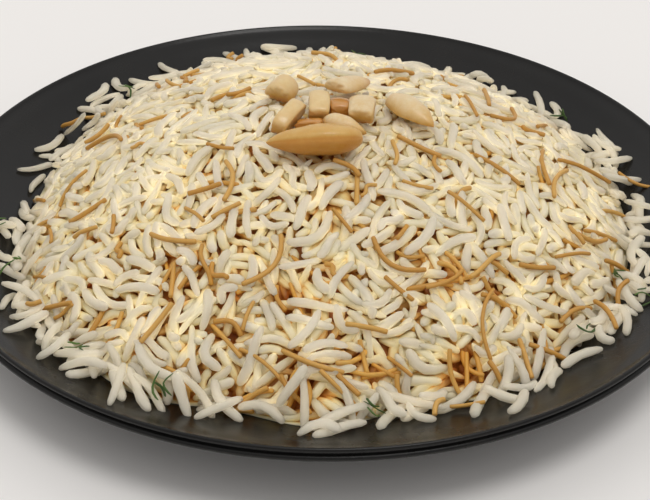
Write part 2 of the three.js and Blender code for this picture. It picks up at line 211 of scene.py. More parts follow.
def mound_point(share, angle):
    """A point of the mound's skin: out by a share of the foot's radius, and up by one minus a power of that share, to
    a second power, of its height."""
    foot = mound_foot(angle)
    low = plate_surface(foot) + UNDERSIDE_GAP
    height = low + (MOUND_TOP - low) * np.clip(1 - share**MOUND_FLATNESS, 0, 1) ** MOUND_SHOULDER
    return round_axis(share * foot, angle, height)


def mound_frame(share, angle):
    """Outward, sideways and upward unit directions of the skin at a place."""
    farther, nearer = np.minimum(share + 0.01, 0.995), np.clip(share - 0.01, 0.001, 0.975)
    out = mound_point(farther, angle) - mound_point(nearer, angle)
    out /= np.linalg.norm(out, axis=-1, keepdims=True)
    side = np.stack([-np.sin(angle), np.cos(angle), np.zeros_like(angle)], axis=-1)
    side -= (side * out).sum(-1, keepdims=True) * out
    side /= np.linalg.norm(side, axis=-1, keepdims=True)
    return out, side, np.cross(out, side)


skin_shares = np.linspace(0, 1, SKIN_STEPS)
skin_line = mound_point(skin_shares, np.zeros(SKIN_STEPS))
skin_steps = np.linalg.norm(np.diff(skin_line, axis=0), axis=1)
skin_areas = np.pi * (skin_line[1:, 0] + skin_line[:-1, 0]) * skin_steps
skin_radii = np.concatenate([[0], np.sqrt(np.cumsum(skin_areas) / np.pi)])
SKIN_RADIUS = skin_radii[-1]


def to_mound(flat, lift):
    """Flat places and heights above the skin, taken to the mound."""
    share = np.interp(np.hypot(flat[..., 0], flat[..., 1]), skin_radii, skin_shares)
    angle = np.arctan2(flat[..., 1], flat[..., 0])
    return mound_point(share, angle) + lift[..., None] * mound_frame(share, angle)[2]


def to_flat(points):
    """Flat places under points of the mound."""
    angle = np.arctan2(points[..., 1], points[..., 0])
    share = np.hypot(points[..., 0], points[..., 1]) / mound_foot(angle)
    return round_axis(np.interp(share, skin_shares, skin_radii), angle)


# The almonds: blanched kernels, one whole and the others halved or broken, lightly toasted. They lie where they were
# strewn on the top of the mound. The same forms as in the solids, with more stations and sides.

ALMONDS = {
    "almond_whole": dict(length=24, width=12, depth=4, back=1, at=(-2.6, -18.7, 47.1), turn=(34, 2, 184)),
    "almond_half_right": dict(length=17, width=9.6, depth=3.6, at=(22.2, -0.4, 45), turn=(-10, 3, -50)),
    "almond_half_behind": dict(length=12, width=6, depth=3.4, at=(4.9, -10.3, 46), turn=(24, 4, -22)),
    "almond_slab_back": dict(length=19, width=9, depth=3, start=0.2, at=(6.9, 9.6, 47.3), turn=(-6, 12, 50)),
    "almond_block_middle": dict(
        length=20, width=12, depth=3.6, start=0.3, end=0.8, left=0.44, right=0.44,
        at=(-1.7, -1.9, 47), turn=(2, -12, 90),
    ),
    "almond_block_right": dict(
        length=20, width=10.5, depth=3.7, start=0.28, end=0.74, left=0.64, right=0.6,
        at=(9.2, -3, 46.6), turn=(0, -6, 84),
    ),
    "almond_toasted_piece": dict(
        length=20, width=11, depth=3.1, back=0.4, start=0.28, end=0.7, left=0.48, right=0.48,
        at=(3.6, -0.8, 45.6), turn=(0, 10, 92),
    ),
    "almond_sliver_left": dict(
        length=18, width=11, depth=4.2, start=0.1, end=0.78, left=0.45, right=0.3,
        at=(-9.8, -6.6, 45.9), turn=(14, -10, 62),
    ),
    "almond_chip_left": dict(
        length=20, width=8, depth=3.4, back=0.4, start=0.3, end=0.68, at=(-11.4, 9.2, 46), turn=(12, -8, 70),
    ),
    "almond_crumb": dict(
        length=16, width=8, depth=2.8, start=0.3, end=0.74, left=0.6, right=0.45,
        at=(-4, -9.8, 45.2), turn=(8, 4, 166),
    ),
}
HALF_BACK = 0.12
WIDEST_AT = 0.4
ALMOND_STATIONS, ALMOND_SIDES = 44, 40
SEAM_BREADTH, SEAM_PINCH = 0.10, 0.06
BROKEN_REACH, ROUNDED_REACH, ROUNDED = 0.7, 0.45, 0.16


def almond_fullness(share):
    """How wide an almond is along its length: a quarter ellipse to its widest place, then drawn to a point."""
    blunt = np.sqrt(np.clip(1 - ((WIDEST_AT - share) / WIDEST_AT) ** 2, 0, 1))
    pointed = np.clip(1 - (np.clip(share - WIDEST_AT, 0, 1) / (1 - WIDEST_AT)) ** 1.8, 0, 1) ** 0.85
    return np.where(share < WIDEST_AT, blunt, pointed)


def turn_matrix(turn):
    """Turning about X, then Y, then Z, in degrees."""
    (cx, cy, cz), (sx, sy, sz) = np.cos(np.radians(turn)), np.sin(np.radians(turn))
    about_x = np.array([[1, 0, 0], [0, cx, -sx], [0, sx, cx]])
    about_y = np.array([[cy, 0, sy], [0, 1, 0], [-sy, 0, cy]])
    about_z = np.array([[cz, -sz, 0], [sz, cz, 0], [0, 0, 1]])
    return about_z @ about_y @ about_x


def almond_mesh(length, width, depth, at, turn, back=HALF_BACK, start=0.0, end=1.0, left=1.0, right=1.0, seed=0):
    """Round sections along the length, as wide and deep as the fullness, cut flat at left, right, start and end.
    A whole kernel has a seam round its edge, and cut ends are rough. Returns points, faces and a roast value for each
    point, which holds a light roast and painted shade: more towards the bottom, and on the whole kernel on the half
    under its seam and along the seam."""
    even = (1 - np.cos(np.pi * np.linspace(0, 1, ALMOND_STATIONS))) / 2
    share = (start + (end - start) * even)[:, None]
    around = np.linspace(0, 2 * np.pi, ALMOND_SIDES, endpoint=False)[None, :]
    fullness = np.maximum(almond_fullness(share), 0.02)
    across = np.cos(around) * fullness
    up = np.sin(around) * fullness**0.8 * np.where(np.sin(around) < 0, back, 1)
    seam = np.exp(-((np.sin(around) / SEAM_BREADTH) ** 2))
    if back == 1:
        across = across * (1 - SEAM_PINCH * seam)
    across = np.clip(across, -left, right)
    wave = np.random.default_rng(seed).uniform(0, 2 * np.pi, 5)
    bulges = 0.03 * np.sin(5 * share * np.pi + wave[0]) * np.cos(around + wave[1])
    dents = 0.02 * np.sin(3 * around + wave[2] + 4 * share)
    rough_end = 0.35 * np.sin(3.1 * across * width / 2 + wave[3]) + 0.3 * np.sin(4.3 * up * depth + wave[4])
    from_start, from_end = (share - start) * length, (end - share) * length
    broken = np.exp(-from_start / BROKEN_REACH) * (start > 0) - np.exp(-from_end / BROKEN_REACH) * (end < 1)
    start_edge, end_edge = (ROUNDED * np.exp(-reach / ROUNDED_REACH) for reach in (from_start, from_end))
    size = (1 - start_edge * (start > 0) - end_edge * (end < 1)) * (1 + bulges + dents)
    x = (share - (start + end) / 2) * length + rough_end * broken * 0.5 + 0.25 * broken
    ring = np.stack([x, across * size * width / 2, up * size * depth], axis=-1).reshape(-1, 3)
    points = np.vstack([ring, ring[:ALMOND_SIDES].mean(0), ring[-ALMOND_SIDES:].mean(0)])
    points = points @ turn_matrix(turn).T + np.array(at)
    faces = as_lists(*sleeve_faces(ALMOND_STATIONS, ALMOND_SIDES))
    height = (points[:, 2] - points[:, 2].min()) / np.ptp(points[:, 2])
    # Halved and broken pieces: a light roast, plus painted shade that grows towards the bottom.
    if back < 1:
        return points, faces, 0.08 + 0.85 * (1 - height) ** 1.5
    # The whole kernel: painted shade on the half under its seam, in a band along the seam and towards the bottom.
    under = 1 / (1 + np.exp(np.sin(around) / 0.05)) * np.ones_like(share)
    shade_under_seam = (0.18 + 0.42 * under + 0.25 * seam).ravel()
    return points, faces, np.concatenate([shade_under_seam, [0.5, 0.3]]) + 0.1 * (1 - height)


def give(piece, name, values):
    """Stores a value from 0 to 1 at each point, for the material to read."""
    layer = piece.data.attributes.new(name, "FLOAT", "POINT")
    layer.data.foreach_set("value", np.clip(values, 0, 1).astype(np.float32))


def new_effect(name, inputs, outputs):
    """An empty node group with named sockets, for an effect that several materials share. Returns it, its nodes, its
    links, and the two nodes that stand for its inputs and its outputs."""
    effect = bpy.data.node_groups.new(name, "ShaderNodeTree")
    for way, sockets in (("INPUT", inputs), ("OUTPUT", outputs)):
        for socket, kind in sockets.items():
            effect.interface.new_socket(socket, in_out=way, socket_type=f"NodeSocket{kind}")
    nodes = effect.nodes
    return effect, nodes, effect.links, nodes.new("NodeGroupInput"), nodes.new("NodeGroupOutput")


# How far each point is roasted, from 0 to 1: the roasted attribute, which also holds painted shade towards the bottom
# of each piece, with soft patches and fine streaks added, less their mean. The streaks also roughen the flesh.
almond_flesh, nodes, links, inputs, outputs = new_effect(
    "almond_flesh",
    {"Smoothest": "Float", "Roughest": "Float"},
    {"Roast_and_shade": "Float", "Roughness": "Float", "Normal": "Vector"},
)
roasted = place(nodes, "ShaderNodeAttribute", attribute_name="roasted")
place_of = place(nodes, "ShaderNodeTexCoord")
patches = place(nodes, "ShaderNodeTexNoise", Scale=260.0, Detail=4.0, Roughness=0.55)
streaks = place(nodes, "ShaderNodeTexNoise", Scale=1100.0, Detail=5.0, Roughness=0.65)
patchy = place(nodes, "ShaderNodeMath", operation="MULTIPLY_ADD")
patchy.inputs[1].default_value = 0.5
streaky = place(nodes, "ShaderNodeMath", operation="MULTIPLY_ADD")
streaky.inputs[1].default_value = 0.25
level = place(nodes, "ShaderNodeMath", operation="SUBTRACT", use_clamp=True)
level.inputs[1].default_value = 0.37
dullness = place(nodes, "ShaderNodeMapRange")
grain = place(nodes, "ShaderNodeBump", Strength=0.3, Distance=0.0003)
connect(
    links,
    (place_of, "Object", patches, "Vector"),
    (place_of, "Object", streaks, "Vector"),
    (patches, "Fac", patchy, 0),
    (roasted, "Fac", patchy, 2),
    (streaks, "Fac", streaky, 0),
    (patchy, "Value", streaky, 2),
    (streaky, "Value", level, 0),
    (level, "Value", outputs, "Roast_and_shade"),
    (inputs, "Smoothest", dullness, "To Min"),
    (inputs, "Roughest", dullness, "To Max"),
    (streaks, "Fac", dullness, "Value"),
    (dullness, "Result", outputs, "Roughness"),
    (streaks, "Fac", grain, "Height"),
    (grain, "Normal", outputs, "Normal"),
)


def toasted(name, colours_by_roast, gloss, oil):
    """Almond flesh, a little translucent, with a film of oil. How far it is roasted, together with the painted shade
    that the roast value holds, picks the colour, from pale cream through tan to brown."""
    material, nodes, links, shader = new_material(
        name,
        Subsurface_Weight=0.35,
        Subsurface_Radius=(1.0, 0.55, 0.22),
        Subsurface_Scale=0.0015,
        Specular_IOR_Level=0.5,
        Coat_Weight=oil,
        Coat_Roughness=0.16,
    )
    shader.subsurface_method = "BURLEY"
    flesh = place(nodes, "ShaderNodeGroup", node_tree=almond_flesh, Smoothest=gloss - 0.08, Roughest=gloss + 0.14)
    colours = colour_steps(nodes, colours_by_roast)
    connect(
        links,
        (flesh, "Roast_and_shade", colours, "Fac"),
        (colours, "Color", shader, "Base Color"),
        (flesh, "Roughness", shader, "Roughness"),
        (flesh, "Normal", shader, "Normal"),
    )
    return material


CREAM, PALE_TAN, TAN, BROWN = (0.82, 0.65, 0.39), (0.74, 0.48, 0.18), (0.64, 0.34, 0.065), (0.46, 0.17, 0.02)
HONEY, GOLD, AMBER, DEEP_AMBER = (0.81, 0.60, 0.29), (0.72, 0.46, 0.145), (0.60, 0.27, 0.045), (0.54, 0.215, 0.03)
almond_finishes = {
    "pale": toasted("almond_pale", [(0.0, CREAM), (0.3, PALE_TAN), (0.6, TAN), (1.0, BROWN)], gloss=0.32, oil=0.2),
    "honey": toasted("almond_honey", [(0.0, HONEY), (0.3, PALE_TAN), (0.55, TAN), (0.9, BROWN)], gloss=0.3, oil=0.5),
    "golden": toasted("almond_golden", [(0.0, GOLD), (0.35, TAN), (0.85, (0.57, 0.22, 0.02))], gloss=0.34, oil=0.25),
    "roasted": toasted("almond_roasted", [(0.0, AMBER), (0.5, DEEP_AMBER), (1.0, BROWN)], gloss=0.34, oil=0.8),
}
FINISH_OF = {"almond_whole": "golden", "almond_toasted_piece": "roasted", "almond_crumb": "roasted"}
FINISH_OF |= dict.fromkeys(("almond_block_middle", "almond_sliver_left", "almond_chip_left"), "honey")
almond_points = []
for index, (name, shape) in enumerate(ALMONDS.items()):
    points, faces, roasted = almond_mesh(**shape, seed=index)
    almond_points.append(points)
    finish = almond_finishes[FINISH_OF.get(name, "pale")]
    kernel = new_piece(name.replace("almond", "kernel"), points, faces, finish, [name])
    give(kernel, "roasted", roasted)


# The loose grains: cooked long-grain rice, mostly 9 to 13 mm long and 2 to 2.6 mm thick, and strands of toasted
# vermicelli 1 to 1.3 mm thick. Each one lands on the flat skin, settles into the lowest place near by, rests on what
# lies there and adds to it. The heap has hollows, where more of the strands show.

CELL = 0.4
HALF_GRID = 108.0
GRID = int(2 * HALF_GRID / CELL)
GRID_MARGIN = 8
CORE_DEPTH = 6.2
CORE_CLEARANCE = 0.3
ALMOND_CLEARANCE = 0.15
NO_CEILING = 60.0
chance = np.random.default_rng(41)
cell_middle = (np.arange(GRID) + 0.5) * CELL - HALF_GRID
cell_x, cell_y = np.meshgrid(cell_middle, cell_middle, indexing="ij")


def cell_of(flat):
    """Row and column of the height maps under flat places."""
    return np.clip(((flat + HALF_GRID) / CELL).astype(int), GRID_MARGIN, GRID - GRID_MARGIN - 1)


def core_lift(share):
    """How far the core lies from the skin: its depth, or less near the foot, where the plate is in the way. It is
    worked out in one direction for all."""
    lifts = np.linspace(-CORE_DEPTH, 0.8, 32)[:, None]
    angle = np.full((1, len(share)), 0.9)
    places = mound_point(share[None, :], angle) + lifts[..., None] * mound_frame(share[None, :], angle)[2]
    clearance = places[..., 2] - plate_surface(np.hypot(places[..., 0], places[..., 1]))
    return np.where(clearance < CORE_CLEARANCE, lifts, -CORE_DEPTH).max(axis=0)


profile_shares = np.linspace(0, 1, 80)
profile_lifts = core_lift(profile_shares)
cell_shares = np.interp(np.hypot(cell_x, cell_y), skin_radii, skin_shares)
skin_height = np.interp(cell_shares, profile_shares, profile_lifts)
skin_ceiling = np.full((GRID, GRID), NO_CEILING)
for points in almond_points:
    flat = to_flat(points)
    share = np.interp(np.hypot(flat[:, 0], flat[:, 1]), skin_radii, skin_shares)
    above = points[:, 2] - mound_point(share, np.arctan2(flat[:, 1], flat[:, 0]))[:, 2]
    cells = cell_of(flat)
    for shift_x in (-1, 0, 1):
        for shift_y in (-1, 0, 1):
            near_by = (cells[:, 0] + shift_x, cells[:, 1] + shift_y)
            np.minimum.at(skin_ceiling, near_by, above - ALMOND_CLEARANCE)
skin_maps = (skin_height, skin_ceiling)

# The hollows in the heap's flanks, each as its middle over the plate, its depth and its breadth.
HOLLOWS = [
    (-18, -80, 3.4, 6), (-5, -81, 2.4, 5), (35, -71, 2.4, 5), (-35, -53, 2.0, 4), (32, -52, 2.0, 4),
    (-21, -67, 2.2, 5), (-32, -77, 2.0, 4), (11, -73, 2.6, 7), (20, -79, 2.0, 4), (73, -33, 2.0, 4),
    (54, -59, 2.0, 5), (-9, -61, 1.8, 5), (59, -7, 1.8, 4), (7, -31, 1.4, 3), (33, -27, 1.4, 3), (-24, -37, 1.4, 3),
    (-53, -60, 1.8, 4), (41, -52, 1.6, 4), (-60, 33, 1.8, 5), (-25, 62, 2.0, 5), (30, 66, 2.2, 6), (68, 38, 2.0, 5),
    (-70, -14, 1.6, 4), (4, 47, 1.6, 4),
]
hollow_places = np.array([(*to_flat(np.array([x, y])), depth, breadth) for x, y, depth, breadth in HOLLOWS])


def fill_limit(flat):
    """How much higher or lower than elsewhere the grains end here: slow swells, a low rise under the almonds, and a
    bell-shaped dip at each hollow."""
    x, y = flat
    swell = 0.35 * np.sin(x / 5.3 + 1.7 * np.sin(y / 9.1)) + 0.35 * np.sin(y / 6.1 + 1.4 * np.sin(x / 7.7) + 1)
    swell = swell + 0.9 * np.exp(-((x - 4) ** 2 + (y + 3) ** 2) / 22**2)
    from_hollow = (hollow_places[:, 0] - x) ** 2 + (hollow_places[:, 1] - y) ** 2
    dips = hollow_places[:, 2] * np.exp(-from_hollow / hollow_places[:, 3] ** 2)
    return np.squeeze(swell) - dips.max(axis=-1)


def disc_stamp(radius):
    """Cell offsets within a radius, and the height of a ball's surface over its middle at each."""
    reach = int(np.ceil(radius / CELL))
    i, j = np.meshgrid(np.arange(-reach, reach + 1), np.arange(-reach, reach + 1), indexing="ij")
    distance2 = (i**2 + j**2) * CELL**2
    inside = distance2 < radius**2
    return i[inside], j[inside], np.sqrt(radius**2 - distance2[inside])


STRAND_RADII = [0.5, 0.57, 0.64]
GRAIN_RADII = [1.0, 1.1, 1.2, 1.3]
stamps = {radius: disc_stamp(radius) for radius in STRAND_RADII + GRAIN_RADII}
STATIONS = 9
SOFTNESS, MOST_DROOP, MOST_SAG = 0.6, 1.0, 0.4
part = np.linspace(-1, 1, STATIONS)


def land(maps, centres, headings, length, radius, bend, twist, steepest, squeeze):
    """Lets one grain down at several places at once. Its line is bent by a square and a cube of the way along it. It
    rests on the lowest straight line that touches the heap on both sides of its middle, then sinks in part of the way
    to their mean, and its ends droop and its middle sags, as soft grains do. Returns its line's flat places, heights,
    covered cells with their new heights, and its mean height, which is endless where it's barred."""
    surface, ceiling = maps
    along = part * (length / 2 - radius)
    side = bend * (1 / 3 - part**2) + twist * (part**3 - 0.6 * part)
    forward = np.stack([np.cos(headings), np.sin(headings)], axis=-1)[:, None]
    across = np.stack([-np.sin(headings), np.cos(headings)], axis=-1)[:, None]
    flat = centres[:, None] + along[:, None] * forward + side[:, None] * across
    i, j, ball = stamps[radius]
    cells = cell_of(flat)
    rows, columns = cells[..., :1] + i, cells[..., 1:] + j
    needed = (surface[rows, columns] + ball).max(axis=-1)
    half = STATIONS // 2
    left, right = along[:half], along[half + 1 :]
    slopes = (needed[:, half + 1 :, None] - needed[:, None, :half]) / (right[:, None] - left[None, :])
    middles = needed[:, None, :half] - slopes * left[None, :]
    best = middles.reshape(len(flat), -1).argmax(axis=1)
    slope = slopes.reshape(len(flat), -1)[np.arange(len(flat)), best]
    line = np.clip(slope, -steepest, steepest)[:, None] * along
    short = needed - line
    line += (1 - SOFTNESS) * short.max(axis=1, keepdims=True) + SOFTNESS * short.mean(axis=1, keepdims=True)
    gap = np.maximum(line - needed, 0)
    droop = np.clip(-part, 0, 1) ** 2 * np.minimum(gap[:, :1], MOST_DROOP)
    droop = droop + np.clip(part, 0, 1) ** 2 * np.minimum(gap[:, -1:], MOST_DROOP)
    sag = (1 - part**2) * np.minimum(gap[:, half : half + 1], MOST_SAG)
    height = line - droop - sag - squeeze
    top = height[..., None] + ball
    barred = (top > ceiling[rows, columns]).any(axis=(1, 2))
    return flat, height, (rows, columns, top), np.where(barred, np.inf, height.mean(axis=1))


def settle(maps, landed, which, radius, kind):
    """Adds the landed grain or strand to the heap. Returns the cells that it covers."""
    flat, height, (rows, columns, top), _ = landed
    np.maximum.at(maps[0], (rows[which], columns[which]), top[which])
    landings[kind].append((flat[which], height[which], radius))
    return rows[which], columns[which], top[which]


limit_map = fill_limit((cell_x[..., None], cell_y[..., None]))
DRAWS_FOR_EACH = 60


def low_places(count):
    """Flat places drawn from the lowest of many cells, against the height at which the heap ends there."""
    rows, columns = chance.integers(0, GRID, (2, DRAWS_FOR_EACH * count))
    inside = np.hypot(cell_middle[rows], cell_middle[columns]) < SKIN_RADIUS - 3
    rows, columns = rows[inside], columns[inside]
    depth = skin_height[rows, columns] - limit_map[rows, columns]
    lowest = np.argsort(depth)[:count]
    return np.stack([cell_middle[rows[lowest]], cell_middle[columns[lowest]]], axis=-1)


def random_places(count, outer):
    """Flat places, evenly spread over a disc."""
    radius = np.sqrt(chance.uniform(0, outer**2, count))
    return round_axis(radius, chance.uniform(0, 2 * np.pi, count))


def any_heading(count=None):
    """Directions by chance."""
    return chance.uniform(0, 2 * np.pi, count)


MEAN_LENGTH, LENGTH_SPREAD, SHORTEST, LONGEST = 11.2, 2.0, 6.5, 15.0
SHIFTS, TURN_WITH_SHIFT = (1.6, 0.6), 0.35
PLUNGE_DEPTHS = (1.5, 4.0)


def drop_grain(maps, kind, places, limit, steepest, shortening=1.0, squeeze=0.5, plunging=0.0):
    """The lowest of several landings, then the lowest of several small shifts and turns of it, as a grain slides into
    a hollow. Some grains then plunge one end between the others. Says whether it lies under the limit."""
    radius = GRAIN_RADII[chance.integers(len(GRAIN_RADII))]
    length = np.clip(chance.normal(MEAN_LENGTH, LENGTH_SPREAD), SHORTEST, LONGEST) * shortening
    manner = (length, radius, chance.normal(0, 1.0), chance.normal(0, 0.5), steepest, squeeze)
    headings = any_heading(len(places))
    landed = land(maps, places, headings, *manner)
    which = landed[3].argmin()
    for reach in SHIFTS:
        places = places[which] + chance.normal(0, reach, places.shape)
        headings = headings[which] + chance.normal(0, TURN_WITH_SHIFT * reach, len(places))
        shifted = land(maps, places, headings, *manner)
        other = shifted[3].argmin()
        if shifted[3][other] >= landed[3][which]:
            break
        landed, which = shifted, other
    if landed[3][which] > limit(landed[0][which].mean(axis=0)):
        return False
    if chance.random() < plunging:
        sunk = chance.uniform(*PLUNGE_DEPTHS) * (1 + part * chance.choice([-1, 1])) / 2
        landed[1][which] -= sunk
        landed[2][2][which] -= sunk[:, None]
    settle(maps, landed, which, radius, kind)
    return True


def drop_strand(maps, centre, heading, length, bend, twist=0.0):
    """A strand that droops over what it lies on. Returns the cells that it covers, or None where it's barred."""
    radius = STRAND_RADII[chance.integers(len(STRAND_RADII))]
    place_at, headings = np.array([centre]), np.array([heading])
    landed = land(maps, place_at, headings, length, radius, bend, twist, steepest=0.5, squeeze=0.1)
    return settle(maps, landed, 0, radius, "strand") if np.isfinite(landed[3][0]) else None


def blurred(field, rounds):
    """The field with each cell averaged with its neighbours, many times over."""
    for _ in range(rounds):
        for axis in (0, 1):
            field = (np.roll(field, 1, axis) + 2 * field + np.roll(field, -1, axis)) / 4
    return field


# The layers, from the core up: most grains, the height over the skin at which the layer ends, how much that varies
# from grain to grain, and strands for each grain. A layer is full when a long run of grains finds no place in it, and
# towards that the grains are let down shorter and steeper.
LAYERS = {"deep": (1900, -3.6, 0.3, 0.03), "middle": (1900, -1.9, 0.4, 0.02), "top": (1900, -0.8, 0.5, 0.01)}
MOST_MISSES = 160
PLACES_TRIED = 12
STEEP, GENTLE, STEEP_SHARE = 0.9, 0.45, 0.35
SCATTERED_SHARE = 0.4
landings = {kind: [] for kind in (*LAYERS, "loose", "strand", "blade")}
for kind, (most, ends_at, spread, strands) in LAYERS.items():
    misses = 0
    while len(landings[kind]) < most and misses < MOST_MISSES:
        limit = ends_at + spread * chance.normal()
        steepest = (STEEP if chance.random() < STEEP_SHARE else GENTLE) + misses / 300
        scattered = chance.random() < SCATTERED_SHARE
        places = random_places(PLACES_TRIED, SKIN_RADIUS - 3.5) if scattered else low_places(PLACES_TRIED)
        dropped = drop_grain(
            skin_maps, kind, places, lambda flat: limit + fill_limit(flat), steepest, 1 - misses / 400, plunging=0.4
        )
        misses = 0 if dropped else misses + 1
        if chance.random() < strands * (dropped + 0.1):
            place_at = random_places(1, SKIN_RADIUS - 5)[0]
            drop_strand(skin_maps, place_at, any_heading(), chance.uniform(4, 12), *chance.normal(0, 0.8, 2))
    if kind == "deep":
        bed_height = blurred(skin_height, 10)
        np.maximum(skin_height, bed_height, out=skin_height)
    if kind == "middle":
        for x, y, depth, breadth in hollow_places:
            heading = any_heading()
            for _ in range(int(1.6 * depth) if y < -45 else 1):
                place_at = np.array([x, y]) + chance.normal(0, 0.35 * breadth, 2)
                slanting = heading + chance.normal(0, 0.35)
                drop_strand(skin_maps, place_at, slanting, chance.uniform(6, 13), chance.normal(0, 0.9))

# The strands that show most, each as its middle over the plate, its direction in degrees, length and bend.
STRANDS_IN_SIGHT = [
    (-57.8, 10.1, -39, 17, 3.0), (-48.5, 44.7, -79, 13, 0), (-46.7, 13.7, 9, 8.3, 0), (-26.3, -13.8, -24, 8, 0),
    (-23.3, 15.1, 33, 7.6, 0), (-5.3, 18.4, -40, 6, 0), (0.2, 14.7, -36, 6.7, 0), (18.9, 31.1, 36, 14.1, 0),
    (-23.0, -26.8, -89, 14, 1.6), (-29.0, -29.7, 2, 8.6, 0), (-30.9, -37.5, -53, 8.2, 0),
    (-23.5, -38.1, 20, 7.6, 0), (11.5, -24.2, -25, 15, -5.0), (22.8, -27.0, -12, 8.3, 0),
    (23.7, -12.6, -21, 12.3, 0), (38.8, 15.1, -78, 12, 0), (44.9, 30.4, -89, 15, 0), (50.2, 19.3, 62, 16, -3.8),
    (60.7, 26.8, 66, 12, 0), (57.7, -0.1, -90, 17.5, -1.7), (70.0, 7.9, 15, 18, 0), (60.8, -5.7, -108, 17.5, -1.5),
    (44.0, -12.5, -32, 14.1, -0.2), (64.1, -13.1, -28, 17, -5.5), (79.1, -2.7, 33, 14, 0),
    (63.0, -25.1, -70, 7.0, -0.9), (71.5, -18.2, 25, 12.1, 0), (68.0, -23.4, 31, 11.7, -1.1),
    (34.6, -30.8, -31, 11.4, 0), (61.9, -32.3, 34, 11.9, 0), (76.0, -26.2, 22, 13.6, 0), (-77.0, 1.9, -61, 14, 0),
    (-59.3, -22.6, 15, 10.9, 0), (-74.9, -13.8, 2, 7.3, 0), (-69.7, -22.8, -81, 6.3, 0), (-59.3, -30.0, -8, 7.6, 0),
    (-51.2, -33.3, -87, 6.3, 0), (-36.0, -43.4, -29, 13.2, -1.1), (-71.1, -35.8, -47, 8.5, 0),
    (-66.4, -49.0, -19, 15, 0.3), (-37.9, -65.2, -132, 11.1, 0), (-12.2, -52.4, -125, 16, 3.3),
    (-7.5, -50.1, -20, 5.2, 0), (4.5, -41.8, -48, 8.6, 0), (16.5, -50.3, -28, 14, -3.6), (17.6, -56.4, -40, 8.5, 0),
    (18.7, -42.9, -121, 6.7, 0), (10.3, -66.6, 12, 10.9, 0), (9.6, -72.7, -73, 7.8, 0), (17.9, -72.0, -32, 7.3, 0),
    (-11.8, -76.0, -47, 17.5, 1.0), (-2.1, -77.1, -19, 15, -0.4), (3.8, -81.2, -29, 11.3, 0),
    (6.1, -80.0, -27, 7.4, 0), (38.2, -60.3, -95, 18, -3.1), (40.2, -71.2, -50, 6.5, 0),
    (34.0, -72.1, -91, 10.4, 0), (61.3, -47.6, 41, 12, 1.0), (56.9, -60.2, -83, 16, -4.3), (56.6, -59.0, 21, 13, 0),
]
GAP_OVER_STRANDS = 0.25
for x, y, heading, length, bend in STRANDS_IN_SIGHT:
    place_at = np.array([x, y])
    flat = to_flat(place_at)
    ahead = to_flat(place_at + round_axis(0.5, np.radians(heading))) - flat
    covered = drop_strand(skin_maps, flat, np.arctan2(ahead[1], ahead[0]), length, bend)
    if covered:
        np.minimum.at(skin_ceiling, covered[:2], covered[2] + GAP_OVER_STRANDS)

# The last grains fill what is still low.
LAST_MISSES = 200
misses = 0
while misses < LAST_MISSES:
    dropped = drop_grain(
        skin_maps, "top", low_places(PLACES_TRIED), lambda flat: -0.45 + fill_limit(flat),
        steepest=0.5, shortening=1 - misses / 500, plunging=0.3,
    )
    misses = 0 if dropped else misses + 1


def grain_lines(kind):
    """The landed lines as space curves, each rigid in the frame of the mound's skin at its middle, lengthened at both
    ends to its tips. Returns the curves and the direction away from the heap at each."""
    lines, normals = [], []
    for flat, height, radius in landings[kind]:
        centre = flat.mean(axis=0)
        share = np.interp(np.hypot(*centre), skin_radii, skin_shares)
        angle = np.arctan2(centre[1], centre[0])
        out, side, normal = mound_frame(share, angle)
        outward = (flat - centre) @ np.array([np.cos(angle), np.sin(angle)])
        sideways = (flat - centre) @ np.array([-np.sin(angle), np.cos(angle)])
        lines.append(mound_point(share, angle) + outward[:, None] * out + sideways[:, None] * side)
        lines[-1] += height[:, None] * normal
        normals.append(normal)
    return np.array(lines), np.array(normals)


def strand_lines(kind):
    """As grain_lines, but each point follows the skin, as a long soft strand does."""
    lines = np.array([to_mound(flat, height) for flat, height, _ in landings[kind]])
    return lines, grain_lines(kind)[1]


def clear_of_plate(lines, radii):
    """Lifts each line by as much as it would cut into the plate."""
    radius = np.hypot(lines[..., 0], lines[..., 1])
    short = (plate_surface(radius) + radii[:, None] + 0.2 - lines[..., 2]).max(axis=1)
    lines[..., 2] += np.maximum(short, 0)[:, None]
    return lines


# The loose grains round the heap's foot: the same cooked grains and a few strands, which have rolled off the heap.
# They fall straight down, onto the plate and the grains that lie there already, and stay inside the plate's lip.

PLATE_ROOM = 99.3
SUNKEN_CORE = 6
plan_radius = np.hypot(cell_x, cell_y)
plan_angle = np.arctan2(cell_y, cell_x)
plate_height = plate_surface(plan_radius)
plan_share = plan_radius / mound_foot(plan_angle)
heap_height = mound_point(np.minimum(plan_share, 1), plan_angle)[..., 2] - SUNKEN_CORE * (plan_share > 0.1)
plan_height = np.where(plan_share < 1, np.maximum(plate_height, heap_height), plate_height)
plan_ceiling = np.where(plan_radius > PLATE_ROOM, -1.0, NO_CEILING)
plan_maps = (plan_height, plan_ceiling)
spans = {}
for kind in (*LAYERS, "strand"):
    radii = np.array([radius for _, _, radius in landings[kind]])
    lines, normals = strand_lines(kind) if kind == "strand" else grain_lines(kind)
    lines = clear_of_plate(lines, radii)
    spans[kind] = (lines, normals, radii)
    for radius in set(radii):
        points = lines[radii == radius].reshape(-1, 3)
        i, j, ball = stamps[radius]
        cells = cell_of(points[:, :2])
        np.maximum.at(plan_height, (cells[:, :1] + i, cells[:, 1:] + j), points[:, 2:] + ball)

